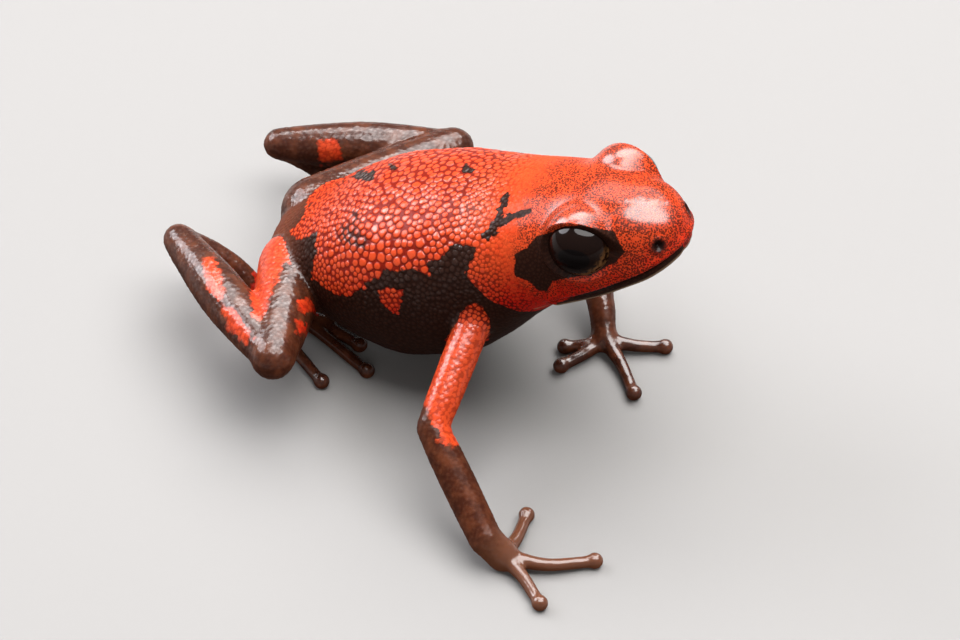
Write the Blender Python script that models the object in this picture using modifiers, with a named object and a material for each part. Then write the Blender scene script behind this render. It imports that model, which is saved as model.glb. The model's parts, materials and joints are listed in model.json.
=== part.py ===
"""A poison dart frog, 19 mm from snout to vent, sitting with its head raised and its right arm reaching out.

The flesh is modelled whole, from the sizes below, and then parted with thin cuts at the joints.
All sizes are in millimetres until the last step, which brings the frog to metres.
X runs towards the snout, Y towards the frog's left and Z up, with the floor at zero.
"""

import math

import bmesh
import bpy
import numpy as np
from mathutils import Matrix, Vector
from mathutils.bvhtree import BVHTree

MM = 0.001
GAP = 0.3
SHOULDER_CLEARANCE = 0.25
HIP_CLEARANCE = 0.60
NECK_CUT = 13.0

# The body's axis runs from the vent to the snout, raised at the head.
VENT = Vector((-9.42, 0.0, 3.09))
BODY_PITCH = math.radians(25)
FORWARD = Vector((math.cos(BODY_PITCH), 0.0, math.sin(BODY_PITCH)))
UPWARD = Vector((-math.sin(BODY_PITCH), 0.0, math.cos(BODY_PITCH)))

# Distance from the vent, half width, and the heights of the back, the widest line and the belly.
SECTIONS = (
    (-1.0, 2.05, 0.60, -0.50, -1.40),
    (0.5, 2.55, 0.90, -0.70, -2.30),
    (2.0, 3.10, 1.45, -0.80, -3.30),
    (4.0, 3.85, 2.10, -1.00, -4.20),
    (6.0, 4.20, 2.50, -1.20, -4.85),
    (8.0, 4.20, 2.53, -1.20, -4.85),
    (10.0, 3.85, 2.30, -1.00, -4.20),
    (12.0, 3.45, 2.12, -0.85, -3.15),
    (13.5, 3.18, 2.12, -0.80, -2.55),
    (15.4, 2.75, 2.05, -0.80, -2.40),
    (17.0, 2.22, 1.66, -0.70, -2.02),
    (18.0, 1.85, 1.32, -0.56, -1.72),
    (18.95, 1.52, 0.95, -0.45, -1.46),
)
TAIL_SWING = 0.5
SWING_START = 8.0
HEAD_BEND = 0.008
BEND_START = 11.0
TAIL_ROUNDING = 1.4
SNOUT_ROUNDING = 1.5
RINGS = 70
RING_POINTS = 48
SQUARENESS = 2.35

# Places on the head are (distance from the vent, distance from the middle, height) along the body's axes.
EYE = (15.58, 1.95, 0.55)
EYE_RADIUS = 1.27
EYE_GAP = 0.10
BROW = 0.27
# Which way an eye looks: ahead, outward and upward. The lids open by these angles from there.
GAZE = (0.16, 0.97, 0.17)
OPENING = 75
OPENING_UP = 61
OPENING_DOWN = 50
OPENING_REACH = 2.2
OPENING_POINTS = 24
NOSTRIL = (18.55, -0.20)
NOSTRIL_RADIUS = 0.19
MOUTH = ((13.6, -1.60), (15.8, -1.40), (17.7, -1.10), (18.85, -0.90))
MOUTH_POINTS = 12
MOUTH_GROOVE = 0.15
LIP_THICKNESS = 0.20
LIP_RISE = 0.24
LIP_DEPTH = 0.12

# Joints are (X, Y, Z) from the floor, and each tip is X, Y and how far the digit bows sideways.
# A length of limb lists its radius at both ends and the middle.
FINGER_HEIGHT = 0.26
FINGER = 0.25
TIP = 0.34
ARMS = {
    "right": {
        "shoulder": (0.42, -3.48, 5.45),
        "elbow": (0.46, -7.53, 3.25),
        "wrist": (3.98, -10.25, 1.15),
        "palm": (4.72, -10.22, 0.46),
        "fingers": ((3.6, -9.3, 0.0), (4.6, -7.68, -0.12), (8.02, -8.80, -0.35), (6.97, -11.72, 0.12)),
        "forearm": (0.66, 0.70, 0.67),
        "hand": (0.64, 0.66),
    },
    "left": {
        "shoulder": (0.42, 3.48, 5.45),
        "elbow": (0.40, 7.0, 3.30),
        "wrist": (3.10, 3.15, 1.05),
        "palm": (3.55, 2.35, 0.42),
        "fingers": ((2.2, 1.45, 0.1), (2.5, 0.39, 0.1), (5.78, 0.21, 0.12), (5.90, 3.12, -0.15)),
        "forearm": (0.66, 0.68, 0.55),
        "hand": (0.52, 0.56),
    },
}
LEGS = {
    "right": {
        "hip": (-8.6, -1.3, 2.85),
        "knee": (-6.75, -6.95, 3.60),
        "ankle": (-13.45, -1.90, 2.95),
        "tarsus": ((-12.1, -1.25, 2.0), (-11.1, -1.1, 1.25)),
        "sole": (-10.0, -1.35, 0.55),
        "toes": (
            (-8.2, -0.7, 0.1), (-7.0, -1.2, -0.1), (-5.4, -1.9, 0.2), (-4.5, -3.1, 0.2), (-5.9, -4.4, -0.2),
        ),
    },
    "left": {
        "hip": (-9.12, 1.85, 3.0),
        "knee": (-5.60, 7.60, 2.95),
        "ankle": (-12.40, 5.20, 2.60),
        "tarsus": ((-11.4, 5.4, 2.05), (-10.5, 5.6, 1.45)),
        "sole": (-9.35, 5.7, 0.58),
        "toes": (
            (-7.8, 4.4, -0.1), (-6.6, 4.8, 0.1), (-5.0, 5.5, -0.2), (-3.7, 6.7, 0.2), (-4.9, 7.6, 0.2),
        ),
    },
}
UPPER_ARM = (0.72, 0.70, 0.66)
THIGH = (1.45, 1.25, 0.92)
SHANK = (0.76, 1.02, 0.70)
TARSUS = (0.62, 0.50, 0.48)

VOXEL = 0.13
FLESH_TRIANGLES = 7400

COLOURS = {
    "head": (0.62, 0.07, 0.02),
    "torso": (0.50, 0.05, 0.02),
    "arm": (0.60, 0.07, 0.02),
    "leg": (0.07, 0.025, 0.02),
    "eye": (0.01, 0.008, 0.008),
}


def on_body(along, across, up):
    """A place given along the body's axes. The tail swings to the frog's left and the head to its right."""
    beyond = max(0.0, along - BEND_START)
    middle = TAIL_SWING * max(0.0, 1 - along / SWING_START) ** 2 - HEAD_BEND * beyond**2
    along += 2 * HEAD_BEND * beyond * across
    return VENT + FORWARD * float(along) + Vector((0.0, across + middle, 0.0)) + UPWARD * float(up)


def on_side(place, side):
    """A place on the head, mirrored to the frog's left or right."""
    return on_body(place[0], place[1] * side, place[2])


def steepness(x, y):
    """Slopes for a smooth curve through the points that never overshoots them."""
    step = np.diff(x)
    rise = np.diff(y) / step
    slope = np.concatenate([rise[:1], np.zeros(len(x) - 2), rise[-1:]])
    for i in range(1, len(x) - 1):
        if rise[i - 1] * rise[i] > 0:
            before, after = 2 * step[i] + step[i - 1], step[i] + 2 * step[i - 1]
            slope[i] = (before + after) / (before / rise[i - 1] + after / rise[i])
    return slope


def smooth_value(x, y, at):
    """The value at one place of that curve."""
    x, y = np.asarray(x, float), np.asarray(y, float)
    slope = steepness(x, y)
    i = int(np.clip(np.searchsorted(x, at) - 1, 0, len(x) - 2))
    width = x[i + 1] - x[i]
    t = (at - x[i]) / width
    return (
        (1 + 2 * t) * (1 - t) ** 2 * y[i]
        + t * (1 - t) ** 2 * width * slope[i]
        + t * t * (3 - 2 * t) * y[i + 1]
        + t * t * (t - 1) * width * slope[i + 1]
    )


def end_rounding(along, start, end):
    """How far the section is drawn in near the tail and the snout, as a round end."""
    tail = min(1.0, (along - start) / TAIL_ROUNDING)
    snout = min(1.0, (end - along) / SNOUT_ROUNDING)
    return math.sqrt(1 - (1 - tail) ** 2) * math.sqrt(1 - (1 - snout) ** 2)


def section_sizes(along):
    """Half width, back, widest line and belly of one section, drawn in near both ends."""
    table = list(zip(*SECTIONS))
    half, *levels = (smooth_value(table[0], column, along) for column in table[1:])
    middle = (levels[0] + levels[2]) / 2
    drawn = end_rounding(along, table[0][0], table[0][-1])
    return half * drawn, *(middle + drawn * (level - middle) for level in levels)


def skin_width(along, up):
    """How far the skin lies from the middle at one height of a section."""
    half, top, wide, bottom = section_sizes(along)
    reach = top - wide if up > wide else wide - bottom
    if reach <= abs(up - wide):
        return 0.0
    return half * (1 - (abs(up - wide) / reach) ** SQUARENESS) ** (1 / SQUARENESS)


def mouth_height(along):
    stops, heights = zip(*MOUTH)
    return smooth_value(stops, heights, along)


def front_of_mouth(rise):
    """How far forward the snout reaches at the height of the mouth, or a little above or below it."""
    along = SECTIONS[-1][0]
    while skin_width(along, mouth_height(along) + rise) <= 0.0:
        along -= 0.01
    return along


def on_skin(along, up, side, outward=0.0):
    """A place on the skin of the head or trunk, moved outward by a little."""
    return on_body(along, (skin_width(along, up) + outward) * side, up)


def skin_normal(along, up, side):
    """The direction straight out of the skin there."""
    step = 0.2
    ahead = on_skin(along + step, up, side) - on_skin(along - step, up, side)
    above = on_skin(along, up + step, side) - on_skin(along, up - step, side)
    normal = ahead.cross(above).normalized()
    return normal if normal.y * side > 0 else -normal


def leaving_place(inside, outside, side):
    """Where a limb's axis comes out of the trunk: the point, and its distance and height along the body."""
    inside, outside = Vector(inside), Vector(outside)
    for i in range(200):
        point = inside.lerp(outside, i / 200)
        along, up = (point - VENT).dot(FORWARD), (point - VENT).dot(UPWARD)
        if (point.y - on_body(along, 0.0, up).y) * side > skin_width(along, up):
            break
    return point, along, up


def section(along):
    """One ring of points round the body."""
    half, top, wide, bottom = section_sizes(along)
    points = []
    for i in range(RING_POINTS):
        turn = 2 * math.pi * i / RING_POINTS
        across = math.copysign(abs(math.cos(turn)) ** (2 / SQUARENESS), math.cos(turn))
        up = math.copysign(abs(math.sin(turn)) ** (2 / SQUARENESS), math.sin(turn))
        height = wide + up * (top - wide if up > 0 else wide - bottom)
        points.append(on_body(along, half * across, height))
    return points


def body_loft():
    """The head and trunk as one closed loft through its sections."""
    mesh = bmesh.new()
    start, end = SECTIONS[0][0], SECTIONS[-1][0]
    rings = []
    for i in range(1, RINGS):
        along = start + (end - start) * (1 - math.cos(math.pi * i / RINGS)) / 2
        rings.append([mesh.verts.new(point) for point in section(along)])
    for near, far in zip(rings, rings[1:]):
        for i in range(RING_POINTS):
            j = (i + 1) % RING_POINTS
            mesh.faces.new((near[i], near[j], far[j], far[i]))
    mesh.faces.new(rings[0])
    mesh.faces.new(rings[-1])
    bmesh.ops.recalc_face_normals(mesh, faces=mesh.faces)
    return made("body_loft", mesh)


def made(name, mesh):
    data = bpy.data.meshes.new(name)
    mesh.to_mesh(data)
    mesh.free()
    obj = bpy.data.objects.new(name, data)
    bpy.context.scene.collection.objects.link(obj)
    return obj


def ball(name, centre, radius, segments=32, rings=20):
    mesh = bmesh.new()
    bmesh.ops.create_uvsphere(mesh, u_segments=segments, v_segments=rings, radius=radius)
    mesh.transform(Matrix.Translation(centre))
    return made(name, mesh)


def smooth_path(stops, steps):
    """Points and radii along a smooth curve through the stops, each (X, Y, Z, radius)."""
    stops = [np.array(stop, float) for stop in stops]
    padded = [2 * stops[0] - stops[1], *stops, 2 * stops[-1] - stops[-2]]
    points = []
    for a, b, c, d in zip(padded, padded[1:], padded[2:], padded[3:]):
        for t in np.arange(steps) / steps:
            points.append(
                0.5 * (2 * b + (c - a) * t + (2 * a - 5 * b + 4 * c - d) * t**2 + (3 * b - a - 3 * c + d) * t**3)
            )
    points.append(stops[-1])
    return points


def round_end(point, beyond):
    """Three more points that close a tube with half a ball."""
    direction = point[:3] - beyond[:3]
    direction /= np.linalg.norm(direction)
    for turn in (0.5, 1.0, 1.4):
        place = point[:3] + direction * point[3] * math.sin(turn)
        yield np.array([*place, point[3] * math.cos(turn)])


def tube(name, stops, sides=5, steps=8):
    """A tapered tube with round ends, as a mesh."""
    points = smooth_path(stops, steps)
    points = [*reversed(list(round_end(points[0], points[1]))), *points, *round_end(points[-1], points[-2])]
    curve = bpy.data.curves.new(name, "CURVE")
    curve.dimensions = "3D"
    curve.bevel_depth = 1.0
    curve.bevel_resolution = sides
    curve.use_fill_caps = True
    spline = curve.splines.new("POLY")
    spline.points.add(len(points) - 1)
    for place, point in zip(points, spline.points):
        point.co = (*place[:3], 1.0)
        point.radius = place[3]
    guide = bpy.data.objects.new(name, curve)
    bpy.context.scene.collection.objects.link(guide)
    solid = solid_of(guide)
    bpy.data.objects.remove(guide)
    return solid


def solid_of(obj):
    """An object's evaluated shape as a new mesh object, with a curve's caps welded on."""
    shape = obj.evaluated_get(bpy.context.evaluated_depsgraph_get())
    mesh = bmesh.new()
    mesh.from_mesh(bpy.data.meshes.new_from_object(shape))
    bmesh.ops.remove_doubles(mesh, verts=mesh.verts, dist=0.0001)
    bmesh.ops.recalc_face_normals(mesh, faces=mesh.faces)
    return made(obj.name, mesh)


def stops_between(start, end, radii, middle=None):
    start, end = Vector(start), Vector(end)
    middle = (start + end) / 2 if middle is None else Vector(middle)
    return [(*start, radii[0]), (*middle, radii[1]), (*end, radii[2])]


def digit_line(root, tip):
    """The root, knuckle, neck and tip of a finger or toe, which bows a little to one side."""
    root = Vector(root)
    end = Vector((*tip[:2], FINGER_HEIGHT))
    aside = Vector((0.0, 0.0, 1.0)).cross(end - root).normalized() * tip[2]
    knuckle = root.lerp(end, 0.45) + aside
    knuckle.z = max(FINGER_HEIGHT + 0.06, knuckle.z)
    neck = root.lerp(end, 0.86) + aside * 0.3
    neck.z = FINGER_HEIGHT
    return root, knuckle, neck, end


def digit(name, root, tip, root_radius):
    """A finger or toe along the floor, ending in a round disc."""
    line = digit_line(root, tip)
    radii = (root_radius, FINGER * 1.08, FINGER, FINGER)
    stops = [(*place, radius) for place, radius in zip(line, radii)]
    return [tube(name, stops), ball(name + "_disc", line[-1], TIP, 16, 12)]


def arm(side, places):
    hand = (places["forearm"][-1], *places["hand"])
    pieces = [
        tube(side + "_upper", stops_between(places["shoulder"], places["elbow"], UPPER_ARM)),
        tube(side + "_fore", stops_between(places["elbow"], places["wrist"], places["forearm"])),
        tube(side + "_palm", stops_between(places["wrist"], places["palm"], hand)),
    ]
    for i, tip in enumerate(places["fingers"]):
        pieces += digit(f"{side}_finger_{i}", places["palm"], tip, 0.36)
    return pieces


def leg(side, places):
    heel = places["ankle"]
    pieces = [
        tube(side + "_thigh", stops_between(places["hip"], places["knee"], THIGH)),
        tube(side + "_shank", stops_between(places["knee"], heel, SHANK)),
        tube(
            side + "_tarsus",
            [
                (*heel, TARSUS[0]),
                *((*place, TARSUS[1]) for place in places["tarsus"]),
                (*places["sole"], TARSUS[2]),
            ],
        ),
    ]
    for i, tip in enumerate(places["toes"]):
        pieces += digit(f"{side}_toe_{i}", places["sole"], tip, 0.34)
    return pieces


def eye_centre(side):
    return on_side(EYE, side)


def eye_axes(side):
    """Ahead, up and outward, as the eye looks."""
    ahead, outward, above = GAZE
    out = Vector((ahead, outward * side, above)).normalized()
    up = (Vector((0.0, 0.0, 1.0)) - out * out.z).normalized()
    return up.cross(out) * -side, up, out


def lid_opening(side):
    """A closed cone from the eye's centre, as wide as the gap between the lids."""
    ahead, up, out = eye_axes(side)
    centre = eye_centre(side)
    mesh = bmesh.new()
    apex = mesh.verts.new(centre)
    front = mesh.verts.new(centre + out * OPENING_REACH)
    rim = []
    for i in range(OPENING_POINTS):
        turn = 2 * math.pi * i / OPENING_POINTS
        reach = OPENING_UP if math.sin(turn) > 0 else OPENING_DOWN
        angle = math.radians(1 / math.hypot(math.cos(turn) / OPENING, math.sin(turn) / reach))
        aside = ahead * math.cos(turn) + up * math.sin(turn)
        rim.append(mesh.verts.new(centre + (out * math.cos(angle) + aside * math.sin(angle)) * OPENING_REACH))
    for near, far in zip(rim, [*rim[1:], rim[0]]):
        mesh.faces.new((apex, near, far))
        mesh.faces.new((front, far, near))
    bmesh.ops.recalc_face_normals(mesh, faces=mesh.faces)
    return made("lid_opening", mesh)


def mouth_line(rise, depth):
    """The line of the mouth from one corner round the snout to the other, raised and sunk a little."""
    corner, front = MOUTH[0][0], front_of_mouth(rise)
    right, left = [], []
    for i in range(MOUTH_POINTS):
        along = corner + (front - corner) * math.sin(math.pi / 2 * i / MOUTH_POINTS)
        up = mouth_height(along) + rise
        right.append(on_skin(along, up, -1, -depth))
        left.append(on_skin(along, up, 1, -depth))
    return [*right, on_body(front - depth, 0.0, mouth_height(front) + rise), *reversed(left)]


def joined(name, pieces):
    """Several meshes as one object of loose shells."""
    mesh = bmesh.new()
    for piece in pieces:
        mesh.from_mesh(piece.data)
        bpy.data.objects.remove(piece)
    return made(name, mesh)


def applied(obj):
    """The object with its modifiers made real."""
    name = obj.name
    obj.name = name + "_before"
    shape = obj.evaluated_get(bpy.context.evaluated_depsgraph_get())
    result = bpy.data.objects.new(name, bpy.data.meshes.new_from_object(shape))
    bpy.context.scene.collection.objects.link(result)
    bpy.data.objects.remove(obj)
    return result


def triangles(obj):
    return sum(len(face.vertices) - 2 for face in obj.data.polygons)


def shells(obj):
    """The separate closed surfaces of a mesh, as bmeshes."""
    whole = bmesh.new()
    whole.from_mesh(obj.data)
    left = set(whole.verts)
    while left:
        edge_of_shell, shell = [left.pop()], set()
        while edge_of_shell:
            vert = edge_of_shell.pop()
            shell.add(vert)
            for edge in vert.link_edges:
                other = edge.other_vert(vert)
                if other in left:
                    left.remove(other)
                    edge_of_shell.append(other)
        piece = whole.copy()
        keep = {vert.index for vert in shell}
        bmesh.ops.delete(piece, geom=[v for i, v in enumerate(piece.verts) if i not in keep], context="VERTS")
        yield piece
    whole.free()


def largest_shell(obj):
    """The object without the scraps that thinning its mesh can leave."""
    kept = max(shells(obj), key=lambda shell: len(shell.verts))
    name = obj.name
    bpy.data.objects.remove(obj)
    return made(name, kept)


def flesh():
    """Everything but the eyes as one smooth closed skin."""
    pieces = [body_loft()]
    for side in (-1, 1):
        pieces.append(ball("brow", eye_centre(side), EYE_RADIUS + BROW))
    for rise in (LIP_RISE, -LIP_RISE):
        stops = [(*point, LIP_THICKNESS) for point in mouth_line(rise, LIP_DEPTH)]
        pieces.append(tube("lip", stops, steps=3))
    for side, places in ARMS.items():
        pieces += arm(side, places)
    for side, places in LEGS.items():
        pieces += leg(side, places)
    skin = joined("skin", pieces)
    remesh = skin.modifiers.new("one skin", "REMESH")
    remesh.mode = "VOXEL"
    remesh.voxel_size = VOXEL
    smooth = skin.modifiers.new("smooth", "SMOOTH")
    smooth.factor = 0.5
    smooth.iterations = 4
    skin = applied(skin)
    fewer = skin.modifiers.new("fewer", "DECIMATE")
    fewer.ratio = FLESH_TRIANGLES / triangles(skin)
    return largest_shell(applied(skin))


def slab(name, centre, normal, along, length, height):
    """A thin box that parts two pieces: its thickness is the gap, along the normal."""
    normal, along = Vector(normal).normalized(), Vector(along).normalized()
    upright = along.cross(normal).normalized()
    mesh = bmesh.new()
    bmesh.ops.create_cube(mesh, size=1.0)
    turn = Matrix((along * length, normal * GAP, upright * height)).transposed().to_4x4()
    mesh.transform(Matrix.Translation(centre) @ turn)
    return made(name, mesh)


def disc(name, centre, normal, radius):
    mesh = bmesh.new()
    bmesh.ops.create_cone(
        mesh, cap_ends=True, cap_tris=False, segments=24, radius1=radius, radius2=radius, depth=GAP
    )
    turn = Vector(normal).to_track_quat("Z", "Y").to_matrix().to_4x4()
    mesh.transform(Matrix.Translation(centre) @ turn)
    return made(name, mesh)


def toward(start, end, distance):
    start, end = Vector(start), Vector(end)
    return start + (end - start).normalized() * distance


def fold_cut(name, joint, before, after, reach, past, height):
    """Parts two lengths that fold back beside each other: the slab lies between them, out past the joint."""
    joint, before, after = Vector(joint), Vector(before), Vector(after)
    first, second = (before - joint).normalized(), (after - joint).normalized()
    between = (first + second).normalized()
    centre = joint + between * (reach - past) / 2
    return slab(name, centre, first - second, between, reach + past, height)


def root_cut(name, inside, outside, clearance, radius):
    """Parts a limb from the trunk with a disc that lies along the flank."""
    side = 1 if name.startswith("left") else -1
    place, along, up = leaving_place(inside, outside, side)
    return disc(name, toward(place, outside, clearance), skin_normal(along, up, side), radius)


def joint_cuts():
    cuts = [disc("neck", on_body(NECK_CUT, 0.0, -0.4), FORWARD, 4.4)]
    for side, places in ARMS.items():
        shoulder, elbow, wrist = (places[name] for name in ("shoulder", "elbow", "wrist"))
        cuts.append(root_cut(side + "_shoulder", shoulder, elbow, SHOULDER_CLEARANCE, 1.5))
        cuts.append(fold_cut(side + "_elbow", elbow, shoulder, wrist, 2.4, 1.3, 2.2))
        cuts.append(disc(side + "_wrist", toward(wrist, elbow, 0.15), Vector(wrist) - Vector(elbow), 0.9))
    for side, places in LEGS.items():
        hip, knee, ankle, sole = (places[name] for name in ("hip", "knee", "ankle", "sole"))
        cuts.append(root_cut(side + "_hip", hip, knee, HIP_CLEARANCE, 2.7))
        cuts.append(fold_cut(side + "_knee", knee, hip, ankle, 4.4, 1.6, 3.4))
        cuts.append(fold_cut(side + "_ankle", ankle, knee, sole, 3.4, 1.4, 2.4))
    return cuts


def detail_cuts():
    """Eye sockets with the gap between the lids, nostrils and the line of the mouth."""
    cuts = [tube("mouth", [(*point, MOUTH_GROOVE) for point in mouth_line(0.0, 0.0)], sides=0, steps=2)]
    for side in (-1, 1):
        cuts.append(ball("socket", eye_centre(side), EYE_RADIUS + EYE_GAP, 24, 16))
        cuts.append(lid_opening(side))
        along, up = NOSTRIL
        cuts.append(ball("nostril", on_skin(along, up, side, 0.05), NOSTRIL_RADIUS, 10, 8))
    return cuts


def floor_cut():
    """Everything under the floor, which leaves the small flats that the frog stands on."""
    depth = 4.0
    mesh = bmesh.new()
    bmesh.ops.create_cube(mesh, size=1.0)
    mesh.transform(Matrix.Translation((-2.0, 0.0, -depth / 2)) @ Matrix.Diagonal((40.0, 40.0, depth, 1.0)))
    return [made("floor", mesh)]


def cut(body, cutters):
    """Takes the cutters away from the body, one after another."""
    for cutter in cutters:
        cutter.hide_render = True
        cutter.display_type = "WIRE"
        difference = body.modifiers.new(cutter.name, "BOOLEAN")
        difference.operation = "DIFFERENCE"
        difference.object = cutter
        difference.solver = "EXACT"
        body = applied(body)
        bpy.data.objects.remove(cutter)
    return body


def node_places():
    """A place inside each node, by which a parted piece is known."""
    places = {"head": on_body(16.0, 0.0, 0.0), "torso": on_body(7.0, 0.0, -1.0)}
    for side, arm_places in ARMS.items():
        shoulder, elbow, wrist = (Vector(arm_places[name]) for name in ("shoulder", "elbow", "wrist"))
        places[side + "_upper_arm"] = shoulder.lerp(elbow, 0.65)
        places[side + "_forearm"] = elbow.lerp(wrist, 0.5)
        places[side + "_hand"] = Vector(arm_places["palm"])
    for side, leg_places in LEGS.items():
        hip, knee, ankle, sole = (Vector(leg_places[name]) for name in ("hip", "knee", "ankle", "sole"))
        places[side + "_thigh"] = hip.lerp(knee, 0.65)
        places[side + "_shank"] = knee.lerp(ankle, 0.5)
        places[side + "_foot"] = sole
    return places


def crossings(tree, place, way):
    """How many times a line from this place, that way, crosses the surface."""
    count = 0
    found = tree.ray_cast(place, way)[0]
    while found is not None:
        count += 1
        found = tree.ray_cast(found + way * 0.0005, way)[0]
    return count


def holds(shell, place):
    """Whether a closed surface has this place inside it. A line that grazes an edge is outvoted by others."""
    tree = BVHTree.FromBMesh(shell)
    ways = (Vector(way).normalized() for way in ((0.31, 0.17, 0.94), (-0.44, 0.83, 0.35), (0.76, -0.52, 0.39)))
    return sum(crossings(tree, place, way) % 2 for way in ways) >= 2


def parted(body):
    """The parted pieces under their names, each known by the place that it holds."""
    places = node_places()
    found = {}
    for shell in shells(body):
        for name, place in places.items():
            if name not in found and holds(shell, place):
                found[name] = made(name, shell)
                break
    bpy.data.objects.remove(body)
    missing = sorted(set(places) - set(found))
    if missing:
        raise RuntimeError("no piece holds " + ", ".join(missing))
    return found


def material(name, colour, roughness):
    finish = bpy.data.materials.new(name)
    finish.use_nodes = True
    shader = finish.node_tree.nodes["Principled BSDF"]
    shader.inputs["Base Color"].default_value = (*colour, 1.0)
    shader.inputs["Roughness"].default_value = roughness
    shader.inputs["Metallic"].default_value = 0.0
    return finish


def finish_of(name):
    if name.endswith("eye"):
        return "eye", 0.05
    if name in ("head", "torso"):
        return name, 0.35
    return ("arm", 0.4) if "arm" in name or "hand" in name else ("leg", 0.35)


def footprint_middle(nodes):
    """The middle of the whole frog's outline on the floor."""
    points = [vert.co for node in nodes for vert in node.data.vertices]
    middle = [(min(p[axis] for p in points) + max(p[axis] for p in points)) / 2 for axis in (0, 1)]
    return Vector((*middle, 0.0))


def clear_scene():
    for obj in list(bpy.data.objects):
        bpy.data.objects.remove(obj)


def main():
    clear_scene()
    skin = cut(flesh(), floor_cut())
    skin = cut(skin, joint_cuts())
    skin = cut(skin, detail_cuts())
    nodes = parted(skin)
    for side, name in ((-1, "right_eye"), (1, "left_eye")):
        nodes[name] = ball(name, eye_centre(side), EYE_RADIUS, 24, 16)
    frog = bpy.data.collections.new("poison_dart_frog")
    bpy.context.scene.collection.children.link(frog)
    middle = footprint_middle(nodes.values())
    print("the origin stands at", tuple(round(value, 3) for value in middle))
    to_metres = Matrix.Scale(MM, 4) @ Matrix.Translation(-middle)
    for name, node in nodes.items():
        node.data.transform(to_metres)
        colour, roughness = finish_of(name)
        node.data.materials.clear()
        node.data.materials.append(material(name, COLOURS[colour], roughness))
        node.data.shade_smooth()
        node.data.set_sharp_from_angle(angle=math.radians(40))
        bpy.context.scene.collection.objects.unlink(node)
        frog.objects.link(node)
        print(name, triangles(node), "triangles")


if __name__ == "__main__":
    main()
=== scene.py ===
# %% [markdown]
# # A small frog, dressed for the camera
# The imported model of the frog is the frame: its head, trunk, limbs and eyes stand where they belong.
# This script puts one living skin over the flesh, with real granules, folds and markings, gives the
# eyes their gloss, and sets up a floor, soft lights and a camera.

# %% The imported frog
import json
import math

import bmesh
import bpy
import numpy as np
from mathutils import Matrix, Vector
from mathutils.bvhtree import BVHTree
from mathutils.kdtree import KDTree

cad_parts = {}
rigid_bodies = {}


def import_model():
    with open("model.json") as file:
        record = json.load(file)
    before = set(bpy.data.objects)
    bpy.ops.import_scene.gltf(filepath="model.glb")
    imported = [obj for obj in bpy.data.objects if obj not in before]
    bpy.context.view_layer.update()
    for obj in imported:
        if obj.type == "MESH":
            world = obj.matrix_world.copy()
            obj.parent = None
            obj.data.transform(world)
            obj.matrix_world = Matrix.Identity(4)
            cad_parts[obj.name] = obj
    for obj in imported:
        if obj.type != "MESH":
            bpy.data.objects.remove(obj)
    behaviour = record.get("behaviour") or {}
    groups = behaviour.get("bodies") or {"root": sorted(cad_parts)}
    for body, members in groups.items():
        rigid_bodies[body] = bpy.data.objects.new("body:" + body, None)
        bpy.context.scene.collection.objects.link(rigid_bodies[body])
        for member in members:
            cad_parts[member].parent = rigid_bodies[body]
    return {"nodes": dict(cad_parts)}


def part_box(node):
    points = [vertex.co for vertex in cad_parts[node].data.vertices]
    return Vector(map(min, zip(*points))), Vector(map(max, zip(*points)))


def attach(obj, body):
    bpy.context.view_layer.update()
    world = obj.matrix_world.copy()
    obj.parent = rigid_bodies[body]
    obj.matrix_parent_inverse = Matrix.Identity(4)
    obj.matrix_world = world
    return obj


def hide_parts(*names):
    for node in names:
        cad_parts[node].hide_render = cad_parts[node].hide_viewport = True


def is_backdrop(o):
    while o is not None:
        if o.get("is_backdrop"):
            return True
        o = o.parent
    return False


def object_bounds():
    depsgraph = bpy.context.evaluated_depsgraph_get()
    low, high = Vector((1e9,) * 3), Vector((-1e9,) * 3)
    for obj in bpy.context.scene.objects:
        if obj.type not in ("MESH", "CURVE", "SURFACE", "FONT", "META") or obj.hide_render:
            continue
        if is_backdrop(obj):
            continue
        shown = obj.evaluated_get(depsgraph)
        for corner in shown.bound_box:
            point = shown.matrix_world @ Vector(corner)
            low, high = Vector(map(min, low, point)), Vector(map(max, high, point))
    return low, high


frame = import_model()
packed_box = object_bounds()
print("packed nodes:", len(frame["nodes"]))

# %% [markdown]
# ## Sizes
# A frog this small is easiest to think of in millimetres, so everything is built in millimetres and
# brought to metres at the end. The trunk has an axis of its own, which rises towards the head. Each
# row of its table is one cross-section: how far it lies from the vent, half its width, and the
# heights of the back, of the widest line and of the belly.

# %% Sizes of the trunk and head
MM = 0.001
VENT = Vector((-9.42, 0.0, 3.09))
BODY_PITCH = math.radians(25)
FORWARD = Vector((math.cos(BODY_PITCH), 0.0, math.sin(BODY_PITCH)))
UPWARD = Vector((-math.sin(BODY_PITCH), 0.0, math.cos(BODY_PITCH)))
SECTIONS = (
    (-1.0, 2.05, 0.60, -0.50, -1.40),
    (0.5, 2.55, 0.90, -0.70, -2.30),
    (2.0, 3.10, 1.45, -0.80, -3.30),
    (4.0, 3.85, 2.10, -1.00, -4.20),
    (6.0, 4.20, 2.50, -1.20, -4.85),
    (8.0, 4.20, 2.53, -1.20, -4.85),
    (10.0, 3.85, 2.30, -1.00, -4.20),
    (12.0, 3.45, 2.12, -0.85, -3.15),
    (13.5, 3.18, 2.12, -0.80, -2.55),
    (15.4, 2.75, 2.05, -0.80, -2.40),
    (17.0, 2.22, 1.66, -0.70, -2.02),
    (18.0, 1.85, 1.32, -0.56, -1.72),
    (18.95, 1.52, 0.95, -0.45, -1.46),
)
TAIL_SWING, SWING_START = 0.5, 8.0
HEAD_BEND, BEND_START = 0.008, 11.0
TAIL_ROUNDING, SNOUT_ROUNDING = 1.4, 1.5
RINGS, RING_POINTS, SQUARENESS = 90, 72, 2.35
print("sections along the body:", len(SECTIONS))

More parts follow.
